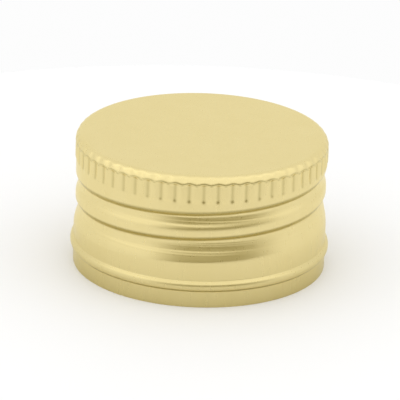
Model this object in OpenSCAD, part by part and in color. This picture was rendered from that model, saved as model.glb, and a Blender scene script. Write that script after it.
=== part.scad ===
// Aluminium screw cap for a small bottle: a drawn and knurled shell with a
// rolled thread and a bead, and a foam sealing disc under its top panel.
// Millimetres. The cap stands on its cut rim, centred on the Z axis, and the
// front of the cap faces -Y.

/* [Cap] */
// Outside diameter of the knurl
cap_d = 28.0; // [26:0.1:34]
// Height from the cut rim to the top panel
cap_h = 15.0; // [14:0.1:20]
// Thickness of the drawn sheet
wall = 0.25; // [0.2:0.01:0.3]
// Outside radius of the rounded shoulder
shoulder_r = 0.85; // [0.6:0.05:1]

/* [Knurl] */
// Number of flutes around the cap
flute_n = 56; // [48:1:60]
// Width of a flute at its mouth
flute_w = 1.25; // [1:0.05:1.3]
// Depth of a flute
flute_depth = 0.16; // [0.14:0.01:0.18]
// Drop from the top panel to the flutes' upper ends
flute_top_drop = 0.65; // [0.5:0.05:0.8]
// Drop from the top panel to the flutes' lower ends
flute_end_drop = 3.25; // [3.1:0.05:3.4]

/* [Thread] */
// Drop from the top panel to the lower edge of the knurl's ridges
knurl_drop = 2.7; // [2.6:0.05:2.85]
// Height of the slope from the ridges down to the collar
knurl_slope = 0.35; // [0.3:0.05:0.5]
// How far the collar and the thread's crest lie inside the knurl's outside
crest_drop = 0.11; // [0.08:0.01:0.13]
// Pitch of the thread
thread_pitch = 2.95; // [2.8:0.05:3.3]
// Rise of the groove's bottom over the skirt's upper edge, where its lower turn starts to fade
thread_rise = 1.6125; // [1.5:0.0125:2.1]
// Angle over which the groove fades out at each end
thread_fade = 60; // [40:5:80]
// Drop from the top panel to the groove's bottom, at the front of its upper turn
thread_drop = 4.6; // [4.5:0.05:5]
// Angle from the front at which the upper turn starts to fade
thread_end_angle = 90; // [60:5:100]
// Depth of the groove under the thread's crest
groove_depth = 0.38; // [0.3:0.01:0.42]
// Height of the groove's steep upper flank
groove_up = 0.85; // [0.75:0.05:1.1]
// Height of the crest left between two turns
thread_land = 0.3; // [0.25:0.05:0.5]

/* [Skirt and bead] */
// Drop from the top panel to the upper edge of the plain skirt
skirt_drop = 9.9; // [9.5:0.05:10.3]
// How far the skirt stands outside the knurl
skirt_out = 0.04; // [0:0.01:0.08]
// Height of the slope between the thread's crest and the skirt
skirt_slope = 1.3; // [0.8:0.05:1.5]
// Height of the bead's crest as a share of the skirt's height
bead_share = 0.48; // [0.4:0.01:0.55]
// How far the bead stands out of the skirt
bead_h = 0.36; // [0.3:0.01:0.45]
// Outside radius of the bead's crest
bead_r = 0.7; // [0.6:0.05:0.9]
// Radius of the fillets above and below the bead
bead_fillet = 0.15; // [0.1:0.01:0.2]

/* [Liner] */
// Thickness of the sealing disc
liner_t = 1.5; // [1:0.1:2]
// Clearance between the disc's edge and the backs of the flutes
liner_gap = 0.1; // [0.05:0.01:0.3]

/* [Hidden] */

// Facets of a full turn of the body, and of a flute's ball end
body_fn = 96;
flute_fn = 40;
// Largest angle of one step of a rounded profile
arc_step = 15;
// Angle of one step of the groove around the cap
groove_step = 7.5;
// How far the groove cutter's rims stand clear of the wall
groove_rim = 0.06;
// How far the groove cutter lifts off the wall where it has faded out
groove_lift = 0.03;
// Width of the faded groove as a share of its full width
faded_width = 0.15;
// Overlap of the cutters past an open end
over = 1;

outer_r = cap_d / 2;
crest_r = outer_r - crest_drop;
skirt_r = outer_r + skirt_out;
knurl_z = cap_h - knurl_drop;
skirt_z = cap_h - skirt_drop;
shoulder_z = cap_h - shoulder_r;

// A flute is a capsule sunk into the wall, so its radius follows from its
// width and depth
flute_r = (pow(flute_w / 2, 2) + pow(flute_depth, 2)) / (2 * flute_depth);
flute_x = outer_r - flute_depth + flute_r;
flute_z0 = cap_h - flute_end_drop + flute_w / 2;
flute_z1 = cap_h - flute_top_drop - flute_w / 2;

// The bead's crest and fillets are arcs that meet at a common tangent
bead_z = skirt_z * bead_share;
bead_x = skirt_r + bead_h - bead_r;
bead_tangent = acos((bead_r + bead_fillet - bead_h) / (bead_r + bead_fillet));
bead_half = (bead_r + bead_fillet) * sin(bead_tangent);

// The groove's gentle lower flank takes what its upper flank and the land leave
groove_low = thread_pitch - thread_land - groove_up;
groove_z = cap_h - thread_drop;
groove_a1 = thread_end_angle;
groove_a0 = -360 * (groove_z - skirt_z - thread_rise) / thread_pitch;
// Share of each flank that is hollow, the rest of it being its rounded edge
upper_hollow = 0.4;
lower_hollow = 0.7;
// Places across the groove, from its upper rim at 1 to its lower rim at -1
groove_places = [1, 0.8, 0.6, upper_hollow, 0.2, 0, -0.25, -0.5, -lower_hollow, -0.85, -1];

liner_r = outer_r - wall - flute_depth - liner_gap;
liner_edge_r = shoulder_r - wall;

// Points of an arc about centre c, from angle a0 to angle a1
function arc(c, r, a0, a1) =
    let (steps = ceil(abs(a1 - a0) / arc_step))
    [for (i = [0:steps]) let (a = a0 + (a1 - a0) * i / steps) c + r * [cos(a), sin(a)]];

// Smooth step from 0 to 1
function ramp(x) = let (t = min(1, max(0, x))) t * t * (3 - 2 * t);

// Straight change from v0 at z0 to v1 at z1
function slope(z, z0, z1, v0, v1) = v0 + (v1 - v0) * min(1, max(0, (z - z0) / (z1 - z0)));

// Outside radius of the wall at height z, without bead, flutes and groove
function wall_r(z) = z < (knurl_z + skirt_z) / 2
    ? slope(z, skirt_z, skirt_z + skirt_slope, skirt_r, crest_r)
    : slope(z, knurl_z - knurl_slope, knurl_z, crest_r, outer_r);

// Share of the groove's depth at place s, a hollow about its bottom and a rounded edge
function hollow(s) =
    let (
        m = s > 0 ? upper_hollow : lower_hollow,
        t = abs(s)
    )
    t < m ? 1 - t * t / m : (1 - t) * (1 - t) / (1 - m);

// Share of the groove's full depth at angle a, which fades at both ends
function fade(a) = ramp((a - groove_a0) / thread_fade + 1) * ramp((groove_a1 - a) / thread_fade + 1);

// Radius and height of the groove's surface at angle a and place s across it
function groove_surface(a, s) =
    let (
        f = fade(a),
        width = (s > 0 ? groove_up : groove_low) * (faded_width + (1 - faded_width) * f),
        z = groove_z + thread_pitch * a / 360 + s * width
    )
    [wall_r(z) - f * groove_depth * hollow(s) + (1 - f) * groove_lift, z];

// The same surface moved inwards by inset, square to itself
function groove_point(a, s, inset) =
    let (
        p = groove_surface(a, s),
        d = groove_surface(a, min(1, s + 0.01)) - groove_surface(a, max(-1, s - 0.01)),
        rim = abs(s) == 1 ? groove_rim : 0
    )
    p + inset * [-d[1], d[0]] / norm(d) + [rim, 0];

// The plain drawn cap, inset from its outside surface and filled down to z0
module blank(inset, z0) {
    rotate_extrude($fn = body_fn)
        polygon(concat(
            [[0, z0], [skirt_r - inset, z0]],
            arc([skirt_r + bead_fillet, bead_z - bead_half], bead_fillet + inset, 180, 180 - bead_tangent),
            arc([bead_x, bead_z], bead_r - inset, -bead_tangent, bead_tangent),
            arc([skirt_r + bead_fillet, bead_z + bead_half], bead_fillet + inset, 180 + bead_tangent, 180),
            [
                [skirt_r - inset, skirt_z],
                [crest_r - inset, skirt_z + skirt_slope],
                [crest_r - inset, knurl_z - knurl_slope],
                [outer_r - inset, knurl_z]
            ],
            arc([outer_r - shoulder_r, shoulder_z], shoulder_r - inset, 0, 90),
            [[0, cap_h - inset]]
        ));
}

// Every second flute, starting from the one named by first
module flutes(inset, first) {
    for (i = [first:2:flute_n - 1])
        rotate([0, 0, i * 360 / flute_n])
            translate([flute_x, 0, flute_z0]) {
                sphere(r = flute_r + inset, $fn = flute_fn);
                cylinder(r = flute_r + inset, h = flute_z1 - flute_z0, $fn = flute_fn);
                translate([0, 0, flute_z1 - flute_z0])
                    sphere(r = flute_r + inset, $fn = flute_fn);
            }
}

// The rolled groove, swept right-handed around the wall
module groove(inset) {
    a0 = groove_a0 - thread_fade;
    steps = ceil((groove_a1 + thread_fade - a0) / groove_step);
    across = len(groove_places);
    points = [
        for (i = [0:steps], k = [0:across - 1])
            let (
                a = a0 + (groove_a1 + thread_fade - a0) * i / steps,
                p = groove_point(a, groove_places[k], inset)
            )
            [p[0] * sin(a), -p[0] * cos(a), p[1]]
    ];
    sides = [
        for (i = [0:steps - 1], k = [0:across - 1])
            let (
                p = i * across + k,
                q = i * across + (k + 1) % across
            )
            each [[p, q, p + across], [p + across, q, q + across]]
    ];
    ends = [
        [for (k = [across - 1:-1:0]) k],
        [for (k = [0:across - 1]) steps * across + k]
    ];
    polyhedron(points = points, faces = concat(sides, ends));
}

// The cap's form at one depth in the sheet: the outside at inset 0, and the
// inside at inset wall
module form(inset, z0) {
    difference() {
        difference() {
            difference() {
                blank(inset, z0);
                flutes(inset, 0);
            }
            flutes(inset, 1);
        }
        groove(inset);
    }
}

module shell() {
    color([0.84, 0.77, 0.54])
        difference() {
            form(0, 0);
            form(wall, -over);
        }
}

module liner() {
    color([0.95, 0.95, 0.93])
        rotate_extrude($fn = body_fn)
            polygon(concat(
                [[0, cap_h - wall - liner_t], [liner_r, cap_h - wall - liner_t]],
                arc([liner_r - liner_edge_r, shoulder_z], liner_edge_r, 0, 90),
                [[0, cap_h - wall]]
            ));
}

shell();
liner();
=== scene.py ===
import math

import bpy
import numpy as np
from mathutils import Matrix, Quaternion, Vector


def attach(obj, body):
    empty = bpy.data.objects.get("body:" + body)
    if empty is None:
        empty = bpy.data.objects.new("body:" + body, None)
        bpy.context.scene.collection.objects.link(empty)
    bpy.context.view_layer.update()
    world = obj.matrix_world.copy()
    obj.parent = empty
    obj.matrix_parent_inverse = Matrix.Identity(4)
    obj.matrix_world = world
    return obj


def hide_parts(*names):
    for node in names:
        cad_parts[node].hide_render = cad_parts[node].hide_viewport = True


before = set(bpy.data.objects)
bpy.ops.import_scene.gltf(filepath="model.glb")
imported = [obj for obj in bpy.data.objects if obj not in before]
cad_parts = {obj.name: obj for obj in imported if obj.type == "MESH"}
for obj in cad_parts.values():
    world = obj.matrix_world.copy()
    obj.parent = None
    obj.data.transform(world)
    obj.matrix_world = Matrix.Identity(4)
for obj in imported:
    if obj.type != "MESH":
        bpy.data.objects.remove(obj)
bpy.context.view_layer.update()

# All sizes down to the materials are in mm. The cap stands on its cut rim, centred
# on Z, with its front facing -Y. Azimuths start at the front and grow towards +X.
MM = 0.001
CAP_R, CAP_H, SHEET = 14.0, 15.0, 0.25
SHOULDER_R = 0.85
SHOULDER_X, SHOULDER_Z = CAP_R - SHOULDER_R, CAP_H - SHOULDER_R

# The knurl's flutes: their number, the azimuth of the one next to the front, and the
# depth, the hollowness and the roundness of their V-like section
FLUTES = 56
FLUTE_STEP = 2 * math.pi / FLUTES
FLUTE_PHASE = math.radians(1.5)
FLUTE_D, FLUTE_POWER, FLUTE_ROUND = 0.23, 1.35, 0.012
# They end above at ledges, highest at a flute's middle, that join in a scalloped line
LEDGE_Z, LEDGE_ARCH, LEDGE_H = 14.22, 0.30, 0.30

# The slope in which the shoulder is drawn in above the ridges: the height and the
# rounding of its start, which is left out below DRAPE_FOOT
DRAPE_Z, DRAPE_SLOPE, DRAPE_ROUND = 14.33, 0.52, 0.12
DRAPE_FOOT, DRAPE_FOOT_H = 13.5, 0.3
# Share of the shoulder's arc that it is held against, short of its level end
ARC_SHARE = 0.98

# The slopes from the knurl down to the thread's crest, and from there to the skirt
KNURL_Z, KNURL_SLOPE, KNURL_ROUND, CREST_R = 12.3, 0.35, 0.1, 13.89
SKIRT_Z, SKIRT_SLOPE, SKIRT_ROUND, SKIRT_R = 5.1, 1.3, 0.2, 14.04

# The rolled groove: its bottom at the front of its upper turn, the heights of its upper
# flank, its lower flank and the last turn's lower flank, and the angles, in degrees
# from there, between which it has its full depth and over which it fades
PITCH, GROOVE_Z, GROOVE_D = 2.95, 10.4, 0.38
GROOVE_UP, GROOVE_LOW, GROOVE_LAST = 0.80, 1.80, 2.30
GROOVE_A0, GROOVE_A1, FADE = -450.0, 90.0, 60.0
# The angle below which the flanks turn into the last turn's, and over which they do
LAST_TURN, LAST_BLEND = -150.0, 60.0
# Turns of the groove that pass a place on the wall
TURNS = (1, 0, -1, -2)

# How steep a flank is at places across it, from the groove's bottom at 0 to the
# crest at 1, for the upper turn and for the last one
UPPER_FLANK = ((0, 0), (0.16, 1), (1, 0))
UPPER_LAST = ((0, 0), (0.4, 1), (1, 0))
LOWER_FLANK = (
    (0, 0), (0.06, 0.55), (0.42, 1.3), (0.55, 1.85), (0.68, 1.3), (0.85, 0.45), (1, 0))
LOWER_LAST = (
    (0, 0), (0.09, 1), (0.3, 1.15), (0.45, 1.9), (0.6, 1.5), (0.78, 1.05), (0.92, 1.1),
    (1, 0))
SLOPE_PLACES = 201

# The bead, and how steep it is from its crest at 0 to the skirt at 1
BEAD_Z, BEAD_H, BEAD_HALF = 2.45, 0.355, 0.63
BEAD_SIDE = (
    (0, 0), (0.1, 0.11), (0.43, 0.25), (0.66, 0.62), (0.8, 1.2), (0.9, 1.2), (1, 0))

# Rows of the shell's mesh: radii on the top, angles on the shoulder with those that
# the inside keeps, and below them heights, or a range of heights and a step
TOP_RADII = (2.0, 5.0, 8.0, 10.5, 12.2, 13.0)
SHOULDER_ANGLES = (
    90, 82, 74, 66, 58, 50, 42, 35, 29, 24, 20.5, 17.5, 14.5, 11.5, 9, 6.5, 4, 2)
SHOULDER_INSIDE = (90, 74, 50, 29, 17.5, 4)
KNURL_ROWS = (
    14.13, 14.09, 14.05, 14.01, 13.97, 13.93, 13.89, 13.85, 13.8, 13.74, 13.67, 13.58,
    13.4, 13.0, 12.7)
FLUTE_END_ROWS, FLUTE_END_STEP = (12.46, 11.8), 0.055
THREAD_GAP, THREAD_END, THREAD_STEP = 0.04, SKIRT_Z - 0.7, 0.105
SKIRT_ROWS = (4.0, 3.35)
BEAD_ROWS, BEAD_STEP = (BEAD_Z + 0.74, BEAD_Z - 0.75), 0.062
FOOT_ROWS = (1.4, 0.8, 0.3, 0.06)
# Of those rows the inside keeps every second, third or fourth
KNURL_EVERY, FLUTE_END_EVERY, THREAD_EVERY, BEAD_EVERY = 2, 3, 4, 3
# Columns between two ridges, gathered about the flute's bottom at 0
FLUTE_COLUMNS = (-1.0, -0.62, -0.34, -0.13, 0.0, 0.13, 0.34, 0.62)
# The cut rim's rounded corners: depth from the sheet's sides and height
RIM_CORNER, RIM_FLAT = 0.012, 0.05

# The sealing disc, a hair clear of the panel above it
LINER_R, LINER_T, LINER_EDGE, LINER_CORNER = 13.49, 1.5, 0.6, 0.12
LINER_CLEAR = 0.003
LINER_COLUMNS, LINER_CORNER_ROWS, LINER_EDGE_ROWS = 192, 5, 8
LINER_LOW_RADII, LINER_TOP_RADII = (3.0, 6.5, 10.0, 12.6, 13.2), (11.0, 6.0)

# Painted shade, a darker gold standing in for the shade along the knurl's flutes, at their
# feet and scalloped tops, under the thread's and the bead's steep edges and towards the
# foot: the share of the dark colour (_SHARE), and where it shows, across a flute in shares
# of its half (_W), in mm of height (_Z, _H) or from the slope at which it starts over the
# further slope to its full share (_STEEP)
LINE_SHARE, LINE_W, LINE_Z, LINE_FOOT_H, LINE_TOP_H = 0.42, 0.21, 12.02, 0.12, 0.3
DOT_SHARE, DOT_W, DOT_Z, DOT_H = 0.2, 0.2, 12.12, 0.12
SCALLOP_SHARE, SCALLOP_H, SCALLOP_UP, SCALLOP_ARCH = 0.5, 0.075, 0.03, 0.9
KNURL_FROM_Z, KNURL_TO_Z, KNURL_EDGE_H = 12.0, 14.5, 0.1
THREAD_SHARE, THREAD_STEEP, THREAD_FROM_Z, THREAD_TO_Z = 0.72, (0.05, 0.45), 5.2, 11.9
BEAD_SHARE, BEAD_STEEP, BEAD_TO_Z = 0.5, (0.2, 0.8), 2.4
FOOT_SHARE, FOOT_H, FOOT_POWER = 0.42, 7.0, 1.5

# Heights between which the flutes and the groove are worked out
KNURL_SPAN = (KNURL_Z - 1.2, CAP_H - 0.02)
GROOVE_SPAN = (SKIRT_Z - 0.9, KNURL_Z - 0.2)
# Step over which a slope around the cap is worked out, in radians, and the smallest
# height between two rows that have a slope down the profile
TINY, FLAT = 0.001, 0.0001


def smooth(x):
    """Smooth step from 0 to 1."""
    x = np.clip(x, 0.0, 1.0)
    return x * x * (3 - 2 * x)


def rise(x, start, width):
    """Smooth step from 0 at start to 1 a width further on."""
    return smooth((x - start) / width)


def ramp(x, k):
    """x above 0 and 0 below it, its corner rounded over k."""
    return 0.5 * (x + np.sqrt(x * x + k * k))


def soft_slope(z, z0, z1, v0, v1, k):
    """A straight change from v0 at z0 to v1 at z1, its two corners rounded over k."""
    return v0 + (v1 - v0) / (z1 - z0) * (ramp(z - z0, k) - ramp(z - z1, k))


def knurl_share(z):
    """0 on the collar and 1 on the knurl, with the ridges' slope between them."""
    return soft_slope(z, KNURL_Z - KNURL_SLOPE, KNURL_Z, 0.0, 1.0, KNURL_ROUND)


def wall(z):
    """Radius of the plain wall at height z, between the shoulder and the bead."""
    lower = soft_slope(z, SKIRT_Z, SKIRT_Z + SKIRT_SLOPE, SKIRT_R, CREST_R, SKIRT_ROUND)
    upper = CREST_R + (CAP_R - CREST_R) * knurl_share(z)
    return np.where(z < (KNURL_Z + SKIRT_Z) / 2, lower, upper)


def fall(place, slopes):
    """A share that falls from 1 at place 0 to 0 at place 1, as steeply as slopes says."""
    at = np.linspace(0, 1, SLOPE_PLACES)
    slope = np.interp(at, *zip(*slopes))
    drop = np.concatenate([[0], np.cumsum((slope[1:] + slope[:-1]) / 2)])
    return 1 - np.interp(place, at, drop / drop[-1])


def bead(z):
    """How far the bead stands out of the skirt at height z."""
    return BEAD_H * fall(np.abs(z - BEAD_Z) / BEAD_HALF, BEAD_SIDE)


def groove(az, z):
    """Depth of the rolled groove at azimuth az in degrees and height z."""
    total = np.zeros(np.broadcast(az, z).shape)
    for turn in TURNS:
        a = az + 360.0 * turn
        share = smooth((a - GROOVE_A0) / FADE + 1) * smooth((GROOVE_A1 - a) / FADE + 1)
        d = z - (GROOVE_Z + PITCH * a / 360.0)
        # where no turn lies below, the lower flank runs on in a longer slope to the skirt
        last = smooth((LAST_TURN - a) / LAST_BLEND)
        low = GROOVE_LOW + (GROOVE_LAST - GROOVE_LOW) * last
        s = np.clip(np.where(d > 0, d / GROOVE_UP, -d / low), 0, 1)
        upper = (1 - last) * fall(s, UPPER_FLANK) + last * fall(s, UPPER_LAST)
        lower = (1 - last) * fall(s, LOWER_FLANK) + last * fall(s, LOWER_LAST)
        total = np.maximum(total, share * GROOVE_D * np.where(d > 0, upper, lower))
    return total


def across_flute(az):
    """Place across the nearest flute: 0 at its bottom, 1 and -1 on the ridges beside it."""
    half = FLUTE_STEP / 2
    return ((az - FLUTE_PHASE + half) % FLUTE_STEP - half) / half


def flutes(az, z):
    """How far the flutes are pressed in at azimuth az in radians and height z."""
    u = across_flute(az)
    side = np.maximum(1.0 - np.sqrt(u * u + FLUTE_ROUND), 0.0)
    ledge = smooth((LEDGE_Z - LEDGE_ARCH * u * u - z) / LEDGE_H)
    return FLUTE_D * side ** FLUTE_POWER * knurl_share(z) * ledge


def drape(az, z):
    """How far the shoulder is drawn in at azimuth az in radians, from lower on the ridges."""
    up = np.clip(z - SHOULDER_Z, 0, ARC_SHARE * SHOULDER_R)
    shoulder = SHOULDER_R - np.sqrt(SHOULDER_R ** 2 - up ** 2)
    start = DRAPE_Z - LEDGE_ARCH * across_flute(az) ** 2
    drawn = DRAPE_SLOPE * ramp(z - start, DRAPE_ROUND)
    return np.maximum(drawn - shoulder, 0) * rise(z, DRAPE_FOOT, DRAPE_FOOT_H)


def painted_shade_share(az, z, slope):
    """Share of painted shade: flute lines, dots, scalloped line, steep undersides, the foot.
    """
    u = across_flute(az)
    arch = LEDGE_Z + SCALLOP_UP - SCALLOP_ARCH * LEDGE_ARCH * u * u
    knurl = rise(z, KNURL_FROM_Z, KNURL_EDGE_H) * rise(-z, -KNURL_TO_Z, KNURL_EDGE_H)
    # painted shade along the flutes' bottoms, at their feet and along the scalloped top
    line = np.exp(-(u / LINE_W) ** 2)
    line = line * rise(z, LINE_Z, LINE_FOOT_H) * rise(-z, -arch, LINE_TOP_H)
    dot = np.exp(-(u / DOT_W) ** 2 - ((z - DOT_Z) / DOT_H) ** 2)
    scallop = np.exp(-((z - arch) / SCALLOP_H) ** 2)
    # painted shade under the thread's and the bead's steep edges, and darker towards the foot
    under_thread = rise(slope, *THREAD_STEEP) * (z > THREAD_FROM_Z) * (z < THREAD_TO_Z)
    under_bead = rise(slope, *BEAD_STEEP) * (z < BEAD_TO_Z)
    foot = np.maximum(1 - z / FOOT_H, 0) ** FOOT_POWER
    return np.maximum.reduce([
        LINE_SHARE * line * knurl, DOT_SHARE * dot, SCALLOP_SHARE * scallop * knurl,
        THREAD_SHARE * under_thread, FOOT_SHARE * foot + BEAD_SHARE * under_bead])


def surface(az, r, z):
    """Outside radius over a grid of azimuths in radians and plain profile points."""
    A, out = np.meshgrid(az, r)
    Z = np.meshgrid(az, z)[1]
    at = (Z > KNURL_SPAN[0]) & (Z < KNURL_SPAN[1])
    out[at] -= flutes(A[at], Z[at]) + drape(A[at], Z[at])
    at = (Z > GROOVE_SPAN[0]) & (Z < GROOVE_SPAN[1])
    out[at] -= groove(np.degrees(A[at]), Z[at])
    return out


def step_down(points, z, end, step, every, radius):
    """Add points from height z down to end, and return the height that comes next."""
    i = 0
    while z > end:
        points.append((float(radius(z)), z, i % every == 0))
        z, i = z - step, i + 1
    return z


def profile():
    """The plain outside from the top's centre to the rim: radius, height, kept inside."""
    points = [(r, CAP_H, True) for r in TOP_RADII]
    for angle in SHOULDER_ANGLES:
        a = math.radians(angle)
        points.append((
            SHOULDER_X + SHOULDER_R * math.cos(a), SHOULDER_Z + SHOULDER_R * math.sin(a),
            angle in SHOULDER_INSIDE))
    points += [(CAP_R, z, i % KNURL_EVERY == 0) for i, z in enumerate(KNURL_ROWS)]
    z = step_down(points, *FLUTE_END_ROWS, FLUTE_END_STEP, FLUTE_END_EVERY, wall)
    step_down(points, z - THREAD_GAP, THREAD_END, THREAD_STEP, THREAD_EVERY, wall)
    points += [(SKIRT_R, z, True) for z in SKIRT_ROWS]
    step_down(points, *BEAD_ROWS, BEAD_STEP, BEAD_EVERY, lambda z: SKIRT_R + bead(z))
    points += [(SKIRT_R, z, True) for z in FOOT_ROWS]
    return points


def ring_mesh(name, first, rings, last):
    """A closed, smooth mesh of rings of points in mm between a first and a last point."""
    cols = len(rings[0])
    verts = np.concatenate([[first], *rings, [last]])
    idx = np.arange(cols)
    nxt = (idx + 1) % cols
    faces = [(0, 1 + a, 1 + b) for a, b in zip(idx.tolist(), nxt.tolist())]
    for k in range(len(rings) - 1):
        a, b = 1 + k * cols, 1 + (k + 1) * cols
        faces += zip(
            (a + idx).tolist(), (b + idx).tolist(), (b + nxt).tolist(), (a + nxt).tolist())
    low, end = 1 + (len(rings) - 1) * cols, len(verts) - 1
    faces += [(end, low + b, low + a) for a, b in zip(idx.tolist(), nxt.tolist())]
    mesh = bpy.data.meshes.new(name)
    mesh.from_pydata((verts * MM).tolist(), [], faces)
    mesh.polygons.foreach_set("use_smooth", [True] * len(faces))
    return mesh


def around(az, r, z):
    """Points at radius r and height z, one for each azimuth."""
    return np.stack([r * np.sin(az), -r * np.cos(az), np.broadcast_to(z, az.shape)], -1)


def build_shell():
    """The drawn sheet: its formed outside, the cut rim, and the inside a sheet further in."""
    az = (FLUTE_PHASE + FLUTE_STEP / 2 * (
        2 * np.arange(FLUTES)[:, None] + np.array(FLUTE_COLUMNS))).ravel()
    r, z, keep = (np.array(column) for column in zip(*profile()))
    R = surface(az, r, z)
    A, Z = np.meshgrid(az, z)
    P = around(A, R, Z)

    # the form's true normals, from its tangents around the cap and down the profile
    R_az = (surface(az + TINY, r, z) - surface(az - TINY, r, z)) / (2 * TINY)
    dr, dz = np.gradient(R, axis=0), np.gradient(Z, axis=0)
    s, c = np.sin(A), np.cos(A)
    T_az = np.stack([R_az * s + R * c, -R_az * c + R * s, np.zeros_like(R)], -1)
    T_down = np.stack([dr * s, -dr * c, dz], -1)
    N = np.cross(T_down, T_az)
    N /= np.linalg.norm(N, axis=-1, keepdims=True)
    N[z == CAP_H] = (0, 0, 1)

    inside = P[keep] - SHEET * N[keep]
    outer, inner = SKIRT_R, SKIRT_R - SHEET
    rim = [
        around(az, rim_r, rim_z) for rim_r, rim_z in (
            (outer - RIM_CORNER, RIM_CORNER), (outer - RIM_FLAT, 0.0),
            (inner + RIM_FLAT, 0.0), (inner + RIM_CORNER, RIM_CORNER))]
    mesh = ring_mesh(
        "cap_shell", (0, 0, CAP_H), [*P, *rim, *inside[::-1]], (0, 0, CAP_H - SHEET))

    # the outside is lacquered, and what follows it is bare
    lacquered = (1 + len(P)) * len(az)
    bare = len(mesh.polygons) - lacquered
    mesh.polygons.foreach_set("material_index", [0] * lacquered + [1] * bare)
    slope = np.divide(dr, dz, out=np.zeros_like(dr), where=np.abs(dz) > FLAT)
    rolled = groove(np.degrees(A), Z) / GROOVE_D * (Z < KNURL_Z)
    # the share of painted shade, and the groove's depth for its rings
    for name, share in (("painted_shade", painted_shade_share(A, Z, slope)), ("rolled", rolled)):
        value = np.zeros(len(mesh.vertices))
        value[1:1 + share.size] = share.ravel()
        mesh.attributes.new(name, "FLOAT", "POINT").data.foreach_set("value", value)
    mesh.update()
    return mesh


def build_liner():
    """The foam disc, with its upper edge rounded to fit the shoulder's inside."""
    top = CAP_H - SHEET - LINER_CLEAR
    low = CAP_H - SHEET - LINER_T + LINER_CLEAR
    points = [(r, low) for r in LINER_LOW_RADII]
    points += [
        (LINER_R - LINER_CORNER * (1 - math.sin(t)), low + LINER_CORNER * (1 - math.cos(t)))
        for t in np.linspace(0, math.pi / 2, LINER_CORNER_ROWS)]
    points += [
        (LINER_R - LINER_EDGE * (1 - math.cos(t)), top - LINER_EDGE * (1 - math.sin(t)))
        for t in np.linspace(0, math.pi / 2, LINER_EDGE_ROWS)]
    points += [(r, top) for r in LINER_TOP_RADII]
    az = np.arange(LINER_COLUMNS) * 2 * math.pi / LINER_COLUMNS
    rings = [around(az, r, z) for r, z in reversed(points)]
    mesh = ring_mesh("cap_liner", (0, 0, top), rings, (0, 0, low))
    mesh.update()
    return mesh


# Materials, with colours as linear RGBA and sizes in metres
GOLD_A, GOLD_B = (0.780, 0.655, 0.312, 1), (0.792, 0.668, 0.326, 1)
# painted shade: the dark gold mixed in where the mesh's shade share says
GOLD_PAINTED_SHADE = (0.355, 0.296, 0.105, 1)
GOLD_SHEEN = (1.0, 0.97, 0.80, 1)
SILVER = (0.80, 0.80, 0.79, 1)
FOAM_A, FOAM_B = (0.80, 0.80, 0.78, 1), (0.87, 0.87, 0.855, 1)
FLOOR_A, FLOOR_B = (0.900, 0.900, 0.900, 1), (0.915, 0.915, 0.915, 1)
# The middle range of a noise, which is spread over what the noise steers
MID_NOISE = (0.3, 0.7)
# Drawing streaks down the wall, clouds of colour, and rings of the rolling tool
STREAKS = {"scale": 5200.0, "detail": 3.0, "rough": 0.6, "stretch": (1.0, 1.0, 0.035)}
CLOUDS = {"scale": 420.0, "detail": 2.0, "rough": 0.5, "stretch": (1.0, 1.0, 0.25)}
RINGS = {"scale": 3000.0, "detail": 1.0, "rough": 0.5, "stretch": (0.010, 0.010, 1.0)}
STREAK_DEPTH, STREAK_STRENGTH, STREAK_RANGE = 0.000001, 0.7, (0.0142, 0.01495)
RING_DEPTH, RING_RANGE = 0.00004, (0.05, 0.5)
GOLD_ROUGH, SILVER_ROUGH = (0.27, 0.30), (0.30, 0.38)
COAT, COAT_ROUGH, COAT_IOR = 0.10, 0.12, 1.5
FOAM_CLOUDS = {"scale": 700.0, "detail": 3.0, "rough": 0.6}
FOAM_ROUGH, FOAM_STRENGTH, FOAM_DEPTH, FOAM_CELLS = 0.75, 0.35, 0.00005, 3600.0
FLOOR_CLOUDS = {"scale": 25.0, "detail": 2.0, "rough": 0.5}
FLOOR_ROUGH = 0.7


def add_node(tree, kind, settings=None, **inputs):
    """A new node, with its inputs (an _ stands for a space) linked or set to a value."""
    node = tree.nodes.new(kind)
    for name, value in (settings or {}).items():
        setattr(node, name, value)
    for name, value in inputs.items():
        socket = node.inputs[name.replace("_", " ")]
        if isinstance(value, bpy.types.NodeSocket):
            tree.links.new(value, socket)
        else:
            socket.default_value = value
    return node


def new_material(name):
    """A new material, its node tree and its object coordinates."""
    material = bpy.data.materials.new(name)
    material.use_nodes = True
    tree = material.node_tree
    tree.nodes.clear()
    return material, tree, add_node(tree, "ShaderNodeTexCoord").outputs["Object"]


def finish_material(tree, **inputs):
    """The material's Principled shader, joined to its output."""
    shader = add_node(tree, "ShaderNodeBsdfPrincipled", **inputs)
    add_node(tree, "ShaderNodeOutputMaterial", Surface=shader.outputs["BSDF"])


def noise(tree, place, scale, detail, rough, stretch=None):
    """A noise over the place, which can be stretched first."""
    if stretch:
        place = add_node(
            tree, "ShaderNodeMapping", Vector=place, Scale=stretch).outputs["Vector"]
    return add_node(
        tree, "ShaderNodeTexNoise", Vector=place, Scale=scale, Detail=detail,
        Roughness=rough).outputs["Fac"]


def map_range(tree, value, source, target, kind="LINEAR"):
    """The value's range source, spread over the range target and held at its ends."""
    return add_node(
        tree, "ShaderNodeMapRange", {"interpolation_type": kind}, Value=value,
        From_Min=source[0], From_Max=source[1], To_Min=target[0],
        To_Max=target[1]).outputs["Result"]


def mix_colours(tree, factor, a, b):
    """Colour a where the factor is 0, and b where it is 1."""
    return add_node(
        tree, "ShaderNodeMix", {"data_type": "RGBA"}, Factor=factor, A=a,
        B=b).outputs["Result"]


def attribute(tree, name):
    """A value that the mesh carries at its points."""
    return add_node(
        tree, "ShaderNodeAttribute", {"attribute_name": name}).outputs["Fac"]


def bump(tree, height, depth, strength, **normal):
    """A normal tilted by a height of that depth, on top of another normal if given."""
    return add_node(
        tree, "ShaderNodeBump", Height=height, Distance=depth, Strength=strength,
        **normal).outputs["Normal"]


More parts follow.
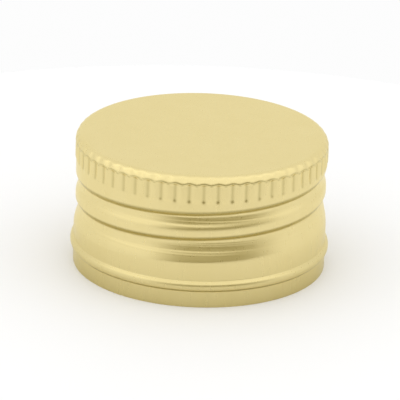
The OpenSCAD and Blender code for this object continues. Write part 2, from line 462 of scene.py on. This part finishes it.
def gold_material():
    """Satin aluminium under a clear gold lacquer, with shade painted in as a darker gold."""
    material, tree, place = new_material("gold_lacquered_aluminium")
    clouds = map_range(tree, noise(tree, place, **CLOUDS), MID_NOISE, (0.0, 1.0))
    colour = mix_colours(tree, clouds, GOLD_A, GOLD_B)
    # painted shade: darker gold on the knurl's lines and scallops, under steep edges, at the
    # foot
    colour = mix_colours(tree, attribute(tree, "painted_shade"), colour, GOLD_PAINTED_SHADE)
    # the rolling tool leaves fine rings in the groove
    in_groove = map_range(tree, attribute(tree, "rolled"), RING_RANGE, (0.0, 1.0))
    rings = bump(tree, noise(tree, place, **RINGS), RING_DEPTH, in_groove)
    # the drawing marks run down the wall and leave the flat top plain
    streaks = noise(tree, place, **STREAKS)
    height = add_node(tree, "ShaderNodeSeparateXYZ", Vector=place).outputs["Z"]
    on_wall = map_range(tree, height, STREAK_RANGE, (STREAK_STRENGTH, 0.0))
    finish_material(
        tree, Base_Color=colour, Metallic=1.0, Specular_Tint=GOLD_SHEEN,
        Roughness=map_range(tree, streaks, MID_NOISE, GOLD_ROUGH),
        Normal=bump(tree, streaks, STREAK_DEPTH, on_wall, Normal=rings),
        Coat_Weight=COAT, Coat_Roughness=COAT_ROUGH, Coat_IOR=COAT_IOR)
    return material


def silver_material():
    """The bare inside of the sheet."""
    material, tree, place = new_material("aluminium_inside")
    finish_material(
        tree, Base_Color=SILVER, Metallic=1.0,
        Roughness=map_range(tree, noise(tree, place, **STREAKS), MID_NOISE, SILVER_ROUGH))
    return material


def foam_material():
    """White closed-cell foam."""
    material, tree, place = new_material("white_foam")
    clouds = map_range(tree, noise(tree, place, **FOAM_CLOUDS), MID_NOISE, (0.0, 1.0))
    cells = add_node(tree, "ShaderNodeTexVoronoi", Vector=place, Scale=FOAM_CELLS)
    finish_material(
        tree, Base_Color=mix_colours(tree, clouds, FOAM_A, FOAM_B), Roughness=FOAM_ROUGH,
        Normal=bump(tree, cells.outputs["Distance"], FOAM_DEPTH, FOAM_STRENGTH))
    return material


def floor_material():
    """A matt white table."""
    material, tree, place = new_material("white_table")
    clouds = noise(tree, place, **FLOOR_CLOUDS)
    finish_material(
        tree, Base_Color=mix_colours(tree, clouds, FLOOR_A, FLOOR_B), Roughness=FLOOR_ROUGH)
    return material


def add(name, data, *materials):
    """A new object of the scene, with those materials."""
    new = bpy.data.objects.new(name, data)
    bpy.context.scene.collection.objects.link(new)
    for material in materials:
        data.materials.append(material)
    return new


shell = add("cap_shell", build_shell(), gold_material(), silver_material())
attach(shell, "root")
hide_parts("shell")
liner = add("cap_liner", build_liner(), foam_material())
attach(liner, "root")
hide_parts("liner")

# The studio, in metres
FLOOR_R, FLOOR_SIDES = 0.066, 96
CAP_MIDDLE = Vector((0, 0, 0.0075))
# World: its plain level, and the gain in front and overhead, which grows over a range
# of -Y in its direction and over a range of degrees of elevation
LEVEL, FRONT_GAIN = 0.98, 0.23
FRONT_RANGE, OVERHEAD_RANGE = (-0.60, 0.10), (-8.0, 24.0)
# What each colour loses on the camera's side, and the degrees at which that starts, is
# full, falls again and ends
CAMERA_SIDE_LOSS = {"Red": 0.76, "Green": 0.80, "Blue": 0.96}
CAMERA_SIDE_ELEVATIONS = (-10.0, -5.0, 9.0, 21.0)
CAMERA_SIDE_AZIMUTHS = (-50.0, -12.0, 34.0, 82.0)
# Lamps: azimuth and elevation in degrees, width, height and radiance
LAMPS = {
    "lamp_key": (-75, 42, 0.60, 0.40, 0.16),
    "lamp_fill": (80, 50, 0.45, 0.35, 0.10),
}
LAMP_DISTANCE = 0.7
# Camera, with the aim and the focal length in pixels of the photo
SENSOR, LENS, CLIP = 36.0, 339.97, (0.01, 10)
ELEVATION, ROLL, DISTANCE = math.radians(21.059), math.radians(1.8473), 0.420
AIM_LEFT, AIM_DOWN, FOCAL_PIXELS = 0.50, 3.46, 3777.4


def build_floor():
    """A round table top that the cap stands on."""
    angles = [2 * math.pi * i / FLOOR_SIDES for i in range(FLOOR_SIDES)]
    points = [(0, 0, 0)] + [(FLOOR_R * math.cos(a), FLOOR_R * math.sin(a), 0) for a in angles]
    mesh = bpy.data.meshes.new("table")
    faces = [(0, 1 + i, 1 + (i + 1) % FLOOR_SIDES) for i in range(FLOOR_SIDES)]
    mesh.from_pydata(points, [], faces)
    return mesh


def build_world():
    """A pale room, brighter in front and overhead, and dark low on the camera's side."""
    world = bpy.data.worlds.new("studio")
    world.use_nodes = True
    tree = world.node_tree
    tree.nodes.clear()

    def maths(operation, *values):
        node = add_node(tree, "ShaderNodeMath", {"operation": operation})
        for socket, value in zip(node.inputs, values):
            if isinstance(value, bpy.types.NodeSocket):
                tree.links.new(value, socket)
            else:
                socket.default_value = value
        return node.outputs["Value"]

    def step(value, start, end, target=(0.0, 1.0)):
        return map_range(tree, value, (start, end), target, "SMOOTHSTEP")

    def window(value, start, full, fall_from, end):
        return maths(
            "MULTIPLY", step(value, start, full), step(value, fall_from, end, (1.0, 0.0)))

    direction = add_node(tree, "ShaderNodeTexCoord").outputs["Generated"]
    x, y, z = add_node(tree, "ShaderNodeSeparateXYZ", Vector=direction).outputs
    forward = maths("MULTIPLY", y, -1.0)
    elevation = maths("MULTIPLY", maths("ARCSINE", z), math.degrees(1))
    azimuth = maths("MULTIPLY", maths("ARCTAN2", x, forward), math.degrees(1))
    gain = maths("MULTIPLY", step(forward, *FRONT_RANGE), step(elevation, *OVERHEAD_RANGE))
    level = maths("ADD", maths("MULTIPLY", gain, FRONT_GAIN), LEVEL)
    camera_side = maths(
        "MULTIPLY", window(elevation, *CAMERA_SIDE_ELEVATIONS),
        window(azimuth, *CAMERA_SIDE_AZIMUTHS))
    colour = add_node(tree, "ShaderNodeCombineColor", **{
        channel: maths("SUBTRACT", level, maths("MULTIPLY", camera_side, loss))
        for channel, loss in CAMERA_SIDE_LOSS.items()})
    background = add_node(
        tree, "ShaderNodeBackground", Color=colour.outputs["Color"], Strength=1.0)
    add_node(tree, "ShaderNodeOutputWorld", Surface=background.outputs["Background"])
    return world


def turn_to(thing, direction, roll=0.0):
    """Turn the thing's back, its +Z, towards direction."""
    thing.rotation_mode = "QUATERNION"
    thing.rotation_quaternion = (
        direction.to_track_quat("Z", "Y") @ Quaternion((0, 0, 1), roll))


def add_lamp(name, azimuth, elevation, width, height, radiance):
    """A rectangular soft lamp that the cap's middle sees at that azimuth and elevation."""
    lamp = bpy.data.lights.new(name, "AREA")
    lamp.shape = "RECTANGLE"
    lamp.size, lamp.size_y = width, height
    lamp.energy = radiance * math.pi * width * height
    a, e = math.radians(azimuth), math.radians(elevation)
    towards = Vector((math.sin(a) * math.cos(e), -math.cos(a) * math.cos(e), math.sin(e)))
    thing = add(name, lamp)
    thing.location = CAP_MIDDLE + towards * LAMP_DISTANCE
    turn_to(thing, towards)


def add_camera():
    """The photo's camera, aimed a hair low and left of the cap's middle."""
    data = bpy.data.cameras.new("camera")
    data.sensor_width, data.lens = SENSOR, LENS
    data.clip_start, data.clip_end = CLIP
    camera = add("camera", data)
    back = Vector((0, -math.cos(ELEVATION), math.sin(ELEVATION)))
    camera.location = CAP_MIDDLE + back * DISTANCE
    turned = back.to_track_quat("Z", "Y") @ Quaternion((0, 0, 1), ROLL)
    left, down = turned @ Vector((-1, 0, 0)), turned @ Vector((0, -1, 0))
    aim = CAP_MIDDLE + (down * AIM_DOWN + left * AIM_LEFT) * (DISTANCE / FOCAL_PIXELS)
    turn_to(camera, (camera.location - aim).normalized(), ROLL)
    return camera


scene = bpy.context.scene
floor = add("table", build_floor(), floor_material())
scene.world = build_world()
for lamp_name, lamp_values in LAMPS.items():
    add_lamp(lamp_name, *lamp_values)
scene.camera = add_camera()
scene.view_settings.view_transform = "Standard"
